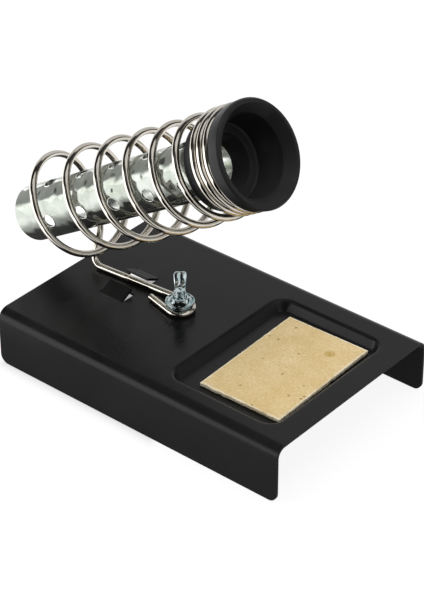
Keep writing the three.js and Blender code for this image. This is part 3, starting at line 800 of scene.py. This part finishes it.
def wirePath():
    # The tail, the loop round the screw, the long leg, the bend and the rising leg, then the coil
    coil = coilPath()
    tailAngle, legAngle = radians(footSet["tailAngle"]), radians(footSet["legAngle"])
    centre = Vector((screwSet["x"], screwSet["y"], footHeight))

    def onLoop(angle):
        return centre + polar(1, angle) * footSet["loopRadius"]

    tailDirection, legDirection = polar(1, tailAngle), polar(1, legAngle)
    first, last = tailAngle + pi / 2, legAngle - pi / 2 + 2 * pi
    tailStart = onLoop(first)
    tailSteps, loopSteps, legSteps = (footSet[key] for key in ("tailSteps", "loopSteps", "legSteps"))
    points = [tailStart + tailDirection * footSet["tailLength"] * (1 - k / tailSteps)
              for k in range(tailSteps)]
    points += [onLoop(first + (last - first) * k / loopSteps) for k in range(loopSteps + 1)]
    legStart = points[-1]
    back = footSet["bendSetback"]
    straight = footSet["legLength"] - back
    points += [legStart + legDirection * straight * k / legSteps for k in range(1, legSteps)]
    corner = legStart + legDirection * footSet["legLength"]
    lean = radians(footSet["lean"])
    rising = polar(cos(lean), radians(footSet["leanTurn"]), sin(lean))
    bend = curvePoints(corner - legDirection * back, corner - legDirection * back / 2,
                       corner + rising * back / 2, corner + rising * back, footSet["bendSteps"])
    heading = (coil[1] - coil[0]).normalized()
    reach = (coil[0] - bend[-1]).length / 2
    leg = curvePoints(bend[-1], bend[-1] + rising * reach, coil[0] - heading * reach, coil[0],
                      footSet["riseSteps"])
    return points + bend + leg[1:-1] + coil


def sweptMesh(path, radius, sides, endChamfer):
    # Rings carried along the path without twist, with chamfered flat ends
    last = len(path) - 1
    tangents = [(path[min(k + 1, last)] - path[max(k - 1, 0)]).normalized() for k in range(last + 1)]
    rings = [(point, tangent, radius) for point, tangent in zip(path, tangents)]
    for k, inward in ((0, endChamfer), (last, -endChamfer)):
        rings[k] = (path[k] + tangents[k] * inward, tangents[k], radius)
    rings.insert(0, (path[0], tangents[0], radius - endChamfer))
    rings.append((path[last], tangents[last], radius - endChamfer))
    normal = tangents[0].orthogonal().normalized()
    verts = []
    for centre, tangent, size in rings:
        normal = (normal - tangent * normal.dot(tangent)).normalized()
        binormal = tangent.cross(normal)
        verts += [centre + (normal * v.x + binormal * v.y) * size for v in ringVerts(1, 0, sides)]
    return verts, cappedFaces(len(rings), sides)


def makeHolderWire():
    swept = sweptMesh(wirePath(), wireSet["diameter"] / 2, wireSet["sides"], wireSet["endChamfer"])
    piece = makeMesh("holderWire", *swept)
    smoothShade(piece, 40)
    finishPiece(piece, springWire, "holder", ["holder_wire"])


def makeTube():
    outer, inner, edge = tubeSet["diameter"] / 2, tubeBore / 2, tubeSet["edgeRound"]
    profile = roundedLine([(inner, tubeEnd, edge), (outer, tubeEnd, edge), (outer, tubeFront, edge),
                           (inner, tubeFront, edge)], 3, closed=True)
    piece = makeMesh("perforatedTube", *turnedMesh(profile, tubeSet["segments"]), holderPlace)
    # Each drill goes through both walls
    drill = closedRod(tubeSet["hole"] / 2, -20, 20, tubeSet["holeSides"])
    aside = Matrix.Rotation(pi / 2, 4, "Y")
    for height in rowHeights:
        for turn in columnTurns(tubeSet["columns"] // 2):
            across = Matrix.Translation((0, 0, height)) @ Matrix.Rotation(turn, 4, "Z") @ aside
            cutWith(piece, makeMesh("drill", *drill, holderPlace @ across))
    finishPiece(piece, tubeSteel, "holder", ["perforated_tube"])
    piece.data.materials.append(tubeInsidePaintedLight)
    setTubeNormals(piece, outer, inner)


def makeHoleRims():
    # The punch leaves a thin turned-up rim round every hole
    outer, roundness = tubeSet["diameter"] / 2, tubeSet["rim"]
    ringRadius = tubeSet["hole"] / 2 + roundness * 0.6
    steps, sides = tubeSet["rimSteps"], tubeSet["rimSides"]
    verts, faces = [], []
    for height in rowHeights:
        for facing in columnTurns(tubeSet["columns"]):
            start = len(verts)
            around = Matrix.Rotation(facing, 3, "Z")
            for i in range(steps):
                angle = 2 * pi * i / steps
                for k in range(sides):
                    turn = 2 * pi * k / sides
                    ring = ringRadius + roundness * cos(turn)
                    aside, above = ring * cos(angle), ring * sin(angle)
                    away = sqrt(outer ** 2 - aside ** 2) + roundness * sin(turn)
                    verts.append(around @ Vector((away, aside, height + above)))
            faces += gridFaces(steps, sides, wrapColumns=True, wrapRows=True, start=start)
    piece = makeMesh("holeRims", verts, faces, holderPlace)
    piece.data.shade_smooth()
    # The paler rim steel is a painted highlight
    finishPiece(piece, tubeRimPaintedHighlight, "holder", ["perforated_tube"])


def setTubeNormals(piece, outer, inner):
    # The walls take the true normals of a round tube, so that the holes leave no shading marks
    mesh = piece.data
    mesh.shade_smooth()
    toHolder = (toRow @ holderPlace).inverted()
    turn = (toRow @ holderPlace).to_3x3().normalized()
    normals = [None] * len(mesh.loops)
    for face in mesh.polygons:
        centre = toHolder @ face.center
        radial = Vector((centre.x, centre.y, 0))
        facing = (turn.transposed() @ face.normal).dot(radial.normalized())
        onWall = abs(facing) > 0.97 and min(abs(radial.length - outer), abs(radial.length - inner)) < 0.1
        # Inner wall faces take the near-white steel, which is painted light
        face.material_index = int(onWall and facing < 0)
        for k in face.loop_indices:
            normal = face.normal
            if onWall:
                local = toHolder @ mesh.vertices[mesh.loops[k].vertex_index].co
                normal = turn @ Vector((local.x, local.y, 0)).normalized() * copysign(1, facing)
            normals[k] = normal
    mesh.normals_split_custom_set(normals)


makeCollar()
makeHolderWire()
makeTube()
makeHoleRims()


# Stage: pale floor, soft lamps and the camera
# The aisle, pool, contact, shade and under entries paint light and shade into the floor's glow
stageSet = {"floorHalf": 6.0, "floorGap": 0.4, "floorGrey": 0.14, "floorGlow": 0.9,
            "aisle": {"heading": 304, "width": 90, "spread": 17, "start": 115, "fade": 40},
            "pool": {"heading": 234, "start": 85, "fade": 60, "gain": 1.2},
            "contact": {"start": 8, "fade": 66, "level": 0.42},
            "shade": {"place": (-102, 12), "radius": 36, "fade": 18, "level": 0.1},
            "under": {"x": -32, "length": 62, "width": 78, "fade": 16, "level": 0.35}}
# Each patch is (heading, height, half angle, fade, level) in degrees, where a level of 1 is white
roomSet = {"level": 0.5, "patches": (
    (112, 14, 38, 5, 0.7), (350, 42, 25, 6, 0.95), (20, 66, 18, 6, 0.85), (0, 90, 13, 5, 0.8),
    (228, -2, 22, 12, 2.6), (308, 55, 17, 5, 0.05),
    (59, -2, 9, 4, 0.07), (61, 12, 9, 4, 0.07), (64, 28, 9, 4, 0.07), (66, 44, 10, 4, 0.06),
    (84, 55, 10, 4, 0.05), (104, 59, 10, 4, 0.03), (128, 62, 10, 4, 0.03), (165, 62, 13, 5, 0.03),
    (195, 40, 25, 4, 0.02), (240, 48, 14, 5, 0.02), (264, 34, 14, 5, 0.02), (286, 22, 16, 5, 0.02),
    (261, 24, 13, 4, 0.02), (302, -4, 24, 5, 0.02), (250, 66, 8, 5, 0.04))}
cameraSet = {"place": (488.755, -578.808, 545.838), "lens": 132.5,
             "right": (0.76543, 0.64352, -0.00137), "up": (-0.35730, 0.42677, 0.83078),
             "back": (0.53521, -0.63542, 0.55659)}
# The panel faces the stand from its heading and height in degrees; its sides are in millimetres
panelSet = {"aim": (-20, 0, 80), "heading": 228, "height": 14, "away": 900, "size": (1000, 600),
            "glow": 1.9}
fillSet = {"place": (0, 0, 1200), "size": 1400, "glow": 1.75}


def makeFloor():
    half = stageSet["floorHalf"]
    corners = [(-half, -half, 0), (half, -half, 0), (half, half, 0), (-half, half, 0)]
    mesh = bpy.data.meshes.new("floor")
    mesh.from_pydata(corners, [], [(0, 1, 2, 3)])
    floor = newObject("floor", mesh)
    floor.location.z = -stageSet["floorGap"] * mm
    material, tree, shader = newMaterial("paleFloor", Roughness=0.9, **{"Specular IOR Level": 0.0})
    rays = addNode(tree, "ShaderNodeLightPath").outputs
    spot = addNode(tree, "ShaderNodeTexCoord").outputs["Object"]
    split = addNode(tree, "ShaderNodeSeparateXYZ", Vector=spot).outputs

    def times(a, b):
        return addMath(tree, "MULTIPLY", a, b)

    def minus(a, b):
        return addMath(tree, "SUBTRACT", a, b)

    def fadeIn(value, start, fade, low=0.0, high=1.0):
        return addRange(tree, value, start * mm, (start + fade) * mm, low, high, smooth=True)

    def along(heading):
        turn = radians(heading)
        return addMath(tree, "ADD", times(split["X"], cos(turn)), times(split["Y"], sin(turn)))

    def beyond(middle, length, width):
        # How far a spot lies outside a rectangle along X and Y
        pastEnd = minus(addMath(tree, "ABSOLUTE", minus(split["X"], middle), 0), length / 2 * mm)
        pastSide = minus(addMath(tree, "ABSOLUTE", split["Y"], 0), width / 2 * mm)
        return addMath(tree, "MAXIMUM", pastEnd, pastSide)

    # Metal mirrors a floor with a dark aisle before the stand's front side: painted shade in the floor's
    # mirrored glow
    aisle = stageSet["aisle"]
    ahead = along(aisle["heading"])
    aside = addMath(tree, "ABSOLUTE", along(aisle["heading"] + 90), 0)
    spread = tan(radians(aisle["spread"]))
    reach = addMath(tree, "ADD", times(ahead, spread), aisle["width"] * mm)
    inAisle = times(fadeIn(minus(reach, aside), -aisle["fade"] / 2, aisle["fade"]),
                    fadeIn(ahead, aisle["start"], aisle["fade"]))
    # A painted pool of light makes it brighter before the panel on the left, and painted shade dims it
    # round the base and behind the tube's low end
    pool = stageSet["pool"]
    bright = fadeIn(along(pool["heading"]), pool["start"], pool["fade"], 1.0, 1.0 + pool["gain"])
    shade = stageSet["shade"]
    middle = (baseMiddleX + shade["place"][0] * mm, shade["place"][1] * mm, 0)
    away = addMath(tree, "DISTANCE", spot, middle, "ShaderNodeVectorMath")
    shaded = fadeIn(away, shade["radius"], shade["fade"], shade["level"])
    contact = stageSet["contact"]
    touched = fadeIn(beyond(baseMiddleX, baseSet["length"], baseSet["width"]),
                     contact["start"], contact["fade"], contact["level"])
    shown = times(times(shaded, touched), minus(1.0, inAisle))
    mirrored = addMath(tree, "MAXIMUM", rays["Is Glossy Ray"], rays["Is Transmission Ray"])
    plain = minus(1.0, times(mirrored, minus(1.0, shown)))
    tree.links.new(times(plain, stageSet["floorGrey"]), shader.inputs["Base Color"])
    lit = times(mirrored, times(bright, shown))
    # Under the base the floor's glow is turned down: a painted shadow
    under = stageSet["under"]
    inOpen = fadeIn(beyond(baseMiddleX + under["x"] * mm, under["length"], under["width"]),
                    0, under["fade"], under["level"])
    glow = times(addMath(tree, "MAXIMUM", rays["Is Camera Ray"], lit), inOpen)
    shader.inputs["Emission Color"].default_value = (1, 1, 1, 1)
    tree.links.new(times(glow, stageSet["floorGlow"]), shader.inputs["Emission Strength"])
    mesh.materials.append(material)


def towards(heading, height):
    heading, height = radians(heading), radians(height)
    return polar(cos(height), heading, sin(height))


def makeWorld():
    # A plain grey room with a few soft pale and dark patches for the metal to mirror
    world = bpy.data.worlds.new("studio")
    bpy.context.scene.world = world
    world.use_nodes = True
    tree = world.node_tree
    direction = addNode(tree, "ShaderNodeTexCoord").outputs["Generated"]
    level = roomSet["level"]
    for heading, height, half, fade, patch in roomSet["patches"]:
        near = addMath(tree, "DOT_PRODUCT", direction, towards(heading, height), "ShaderNodeVectorMath")
        outer, inner = (cos(radians(edge)) for edge in (half + fade, half))
        share = addRange(tree, near, outer, inner, smooth=True)
        level = addMix(tree, share, level, patch)
    # Seen directly, the room is a white backdrop
    rays = addNode(tree, "ShaderNodeLightPath").outputs
    seen = addMath(tree, "MAXIMUM", rays["Is Camera Ray"], rays["Is Transmission Ray"])
    tree.links.new(addMix(tree, seen, level, 1.0), tree.nodes["Background"].inputs["Color"])


def makeLamp(name, place, aim, size, glow):
    # glow is the panel's own brightness, where 1 is white
    light = bpy.data.lights.new(name, "AREA")
    light.shape = "RECTANGLE"
    light.size, light.size_y = (side * mm for side in size)
    light.energy = glow * pi * light.size * light.size_y
    panel = newObject(name, light)
    panel.location = toRow @ Vector(place)
    panel.rotation_euler = (panel.location - toRow @ Vector(aim)).to_track_quat("Z", "Y").to_euler()
    panel.visible_camera = False
    panel.visible_glossy = False


def makeLamps():
    aim = Vector(panelSet["aim"])
    place = aim + towards(panelSet["heading"], panelSet["height"]) * panelSet["away"]
    makeLamp("leftPanel", place, aim, panelSet["size"], panelSet["glow"])
    makeLamp("softFill", fillSet["place"], (0, 0, 0), (fillSet["size"],) * 2, fillSet["glow"])


def makeCamera():
    camera = newObject("camera", bpy.data.cameras.new("camera"))
    camera.data.lens = cameraSet["lens"]
    camera.data.sensor_width = 36
    camera.data.clip_end = 20
    axes = Matrix([cameraSet[key] for key in ("right", "up", "back")]).transposed().to_4x4()
    camera.matrix_world = Matrix.Translation(toRow @ Vector(cameraSet["place"])) @ axes
    bpy.context.scene.camera = camera


makeFloor()
makeWorld()
makeLamps()
makeCamera()
bpy.context.scene.view_settings.view_transform = "Standard"
print("stage ready")
